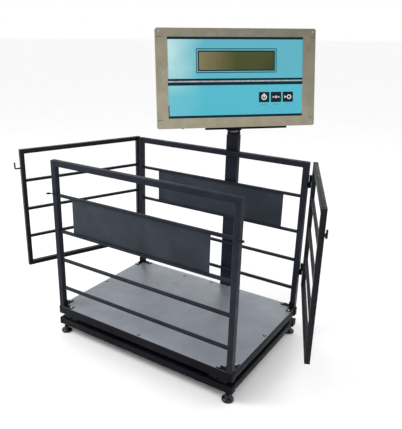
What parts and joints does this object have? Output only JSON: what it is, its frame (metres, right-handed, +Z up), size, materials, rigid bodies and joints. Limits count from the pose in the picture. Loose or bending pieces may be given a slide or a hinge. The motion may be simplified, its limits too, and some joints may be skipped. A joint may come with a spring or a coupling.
{
  "type": "animal weighing scale",
  "caption": "Platform scale for animals with open side fences, swinging end gates, levelling feet and a large indicator on a mast head that turns and tilts.",
  "frame": {"origin": "middle of the bottom of the whole object's box, on the floor under the levelling feet", "axes": "+X to the right along the fences, +Y from the front fence to the mast behind, +Z up"},
  "size_m": [2.4466, 1.5652, 2.2538],
  "materials": {
    "tube_paint": "dark blue-grey powder coat over steel tube",
    "panel_paint": "slate powder coat on steel sheet",
    "black_frame": "black powder coat",
    "deck_sheet": "plain satin steel sheet, lightly scuffed",
    "foot_black": "gloss black",
    "load_cell_steel": "blackened alloy steel",
    "zinc_plate": "zinc plated",
    "housing_steel": "satin stainless steel with a warm tone",
    "face_membrane": "sky-blue printed film on a stiff sheet",
    "display_glass": "clear window with an olive tint",
    "display_carrier": "unlit olive liquid-crystal display",
    "circuit_laminate": "green circuit board",
    "key_plastic": "dark navy keys",
    "gland_plastic": "black nylon"
  },
  "bodies": {
    "scale": {"deck_plate": "deck_sheet", "platform_frame": "black_frame", "base_frame": "black_frame", "mast_clamp_bracket": "black_frame", "load_cell_front_left": "load_cell_steel", "post_shoe_front_left": "tube_paint", "load_cell_front_right": "load_cell_steel", "post_shoe_front_right": "tube_paint", "load_cell_back_left": "load_cell_steel", "post_shoe_back_left": "tube_paint", "load_cell_back_right": "load_cell_steel", "post_shoe_back_right": "tube_paint", "front_fence_left_post": "tube_paint", "front_fence_right_post": "tube_paint", "front_fence_top_rail": "tube_paint", "front_fence_rail_2": "tube_paint", "front_fence_rail_3": "tube_paint", "front_fence_rail_4": "tube_paint", "front_fence_rail_5": "tube_paint", "front_fence_panel": "panel_paint", "back_fence_left_post": "tube_paint", "back_fence_right_post": "tube_paint", "back_fence_top_rail": "tube_paint", "back_fence_rail_2": "tube_paint", "back_fence_rail_3": "tube_paint", "back_fence_rail_4": "tube_paint", "back_fence_rail_5": "tube_paint", "back_fence_panel": "panel_paint", "left_latch_eye": "tube_paint", "left_upper_hinge_pin": "tube_paint", "left_lower_hinge_pin": "tube_paint", "right_latch_eye": "tube_paint", "right_upper_hinge_pin": "tube_paint", "right_lower_hinge_pin": "tube_paint", "indicator_mast": "tube_paint"},
    "left_gate": {"left_gate_frame": "tube_paint", "left_gate_latch_hook": "tube_paint", "left_upper_hinge_socket": "tube_paint", "left_lower_hinge_socket": "tube_paint"},
    "right_gate": {"right_gate_frame": "tube_paint", "right_gate_latch_hook": "tube_paint", "right_upper_hinge_socket": "tube_paint", "right_lower_hinge_socket": "tube_paint"},
    "turntable": {"swivel_turntable": "black_frame", "tilt_pin": "zinc_plate"},
    "indicator": {"indicator_mounting_rail": "black_frame", "indicator_front_bezel": "housing_steel", "indicator_rear_housing": "housing_steel", "indicator_face_panel": "face_membrane", "indicator_circuit_board": "circuit_laminate", "display_window": "display_glass", "display_module": "display_carrier", "cable_gland": "gland_plastic"},
    "key_left_body": {"key_left": "key_plastic"},
    "key_middle_body": {"key_middle": "key_plastic"},
    "key_right_body": {"key_right": "key_plastic"},
    "foot_front_left": {"levelling_foot_front_left": "foot_black"},
    "foot_front_right": {"levelling_foot_front_right": "foot_black"},
    "foot_back_left": {"levelling_foot_back_left": "foot_black"},
    "foot_back_right": {"levelling_foot_back_right": "foot_black"}
  },
  "joints": [
    {"name": "left_gate_swing", "type": "hinge", "parent": "scale", "child": "left_gate", "pos_m": [-0.7595, 0.3, 0.8888], "axis": [0, 0, -1], "range_deg": [-22.5, 127.5]},
    {"name": "right_gate_swing", "type": "hinge", "parent": "scale", "child": "right_gate", "pos_m": [0.7595, 0.3, 0.8888], "axis": [0, 0, 1], "range_deg": [-22.5, 127.5]},
    {"name": "indicator_swivel", "type": "hinge", "parent": "scale", "child": "turntable", "pos_m": [0.119, 0.326, 1.502], "axis": [0, 0, 1], "range_deg": [-90, 45]},
    {"name": "indicator_tilt", "type": "hinge", "parent": "turntable", "child": "indicator", "pos_m": [0.119, 0.326, 1.5333], "axis": [0.6947, 0.7193, 0], "range_deg": [-15, 10]},
    {"name": "key_left_press", "type": "slide", "parent": "indicator", "child": "key_left_body", "axis": [-0.7084, 0.6841, -0.1736], "range_m": [0, 0.0015], "stiffness_N_per_m": 700, "springref_m": -0.0005},
    {"name": "key_middle_press", "type": "slide", "parent": "indicator", "child": "key_middle_body", "axis": [-0.7084, 0.6841, -0.1736], "range_m": [0, 0.0015], "stiffness_N_per_m": 700, "springref_m": -0.0005},
    {"name": "key_right_press", "type": "slide", "parent": "indicator", "child": "key_right_body", "axis": [-0.7084, 0.6841, -0.1736], "range_m": [0, 0.0015], "stiffness_N_per_m": 700, "springref_m": -0.0005},
    {"name": "foot_front_left_height", "type": "slide", "parent": "scale", "child": "foot_front_left", "axis": [0, 0, -1], "range_m": [0, 0.015]},
    {"name": "foot_front_right_height", "type": "slide", "parent": "scale", "child": "foot_front_right", "axis": [0, 0, -1], "range_m": [0, 0.015]},
    {"name": "foot_back_left_height", "type": "slide", "parent": "scale", "child": "foot_back_left", "axis": [0, 0, -1], "range_m": [0, 0.015]},
    {"name": "foot_back_right_height", "type": "slide", "parent": "scale", "child": "foot_back_right", "axis": [0, 0, -1], "range_m": [0, 0.015]}
  ]
}
